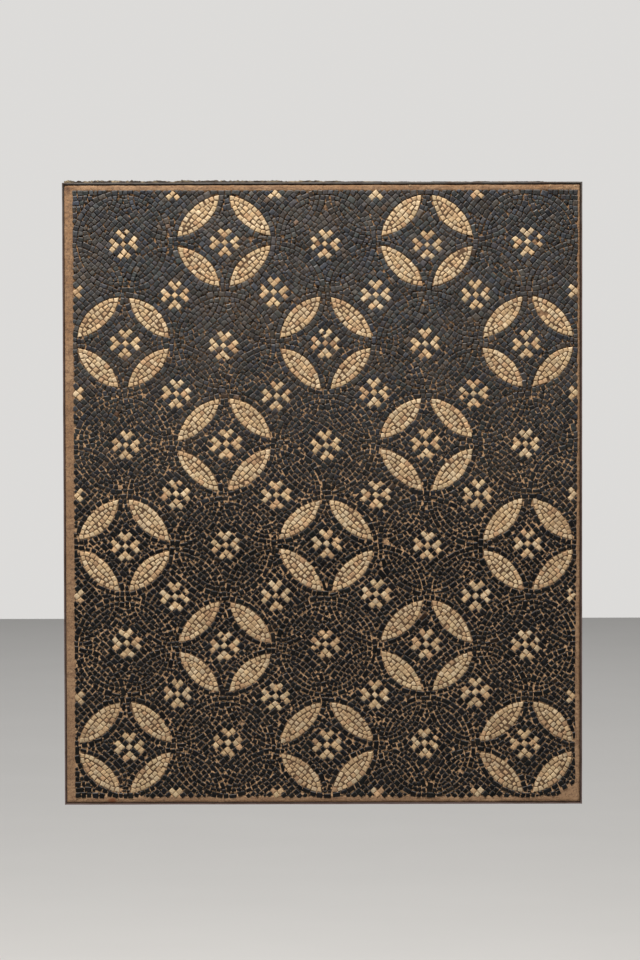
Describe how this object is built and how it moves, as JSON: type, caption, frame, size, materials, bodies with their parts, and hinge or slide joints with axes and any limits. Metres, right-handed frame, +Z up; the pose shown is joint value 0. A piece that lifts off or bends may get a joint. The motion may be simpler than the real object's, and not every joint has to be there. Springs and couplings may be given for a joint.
{
  "type": "mosaic panel",
  "caption": "Upright wall panel of dark and ivory stone mosaic with interlaced circles and crosslets, on a mortar slab with flat iron edging and one lost corner.",
  "frame": {"origin": "centre of the flat back, where the panel meets the wall", "axes": "+Z up, +X to the right as one looks at the mosaic, which faces -Y; +Y points into the wall"},
  "size_m": [1.0096, 0.0455, 1.2118],
  "materials": {
    "mortar": "matte",
    "dark_stone": "matte",
    "ivory_stone": "matte",
    "iron": "matte"
  },
  "bodies": {
    "root": {"mortar_bed": "mortar", "dark_tesserae": "dark_stone", "ivory_tesserae": "ivory_stone", "frame_bar_left": "iron", "frame_bar_right": "iron", "frame_bar_top": "iron", "frame_bar_bottom": "iron"}
  },
  "joints": []
}
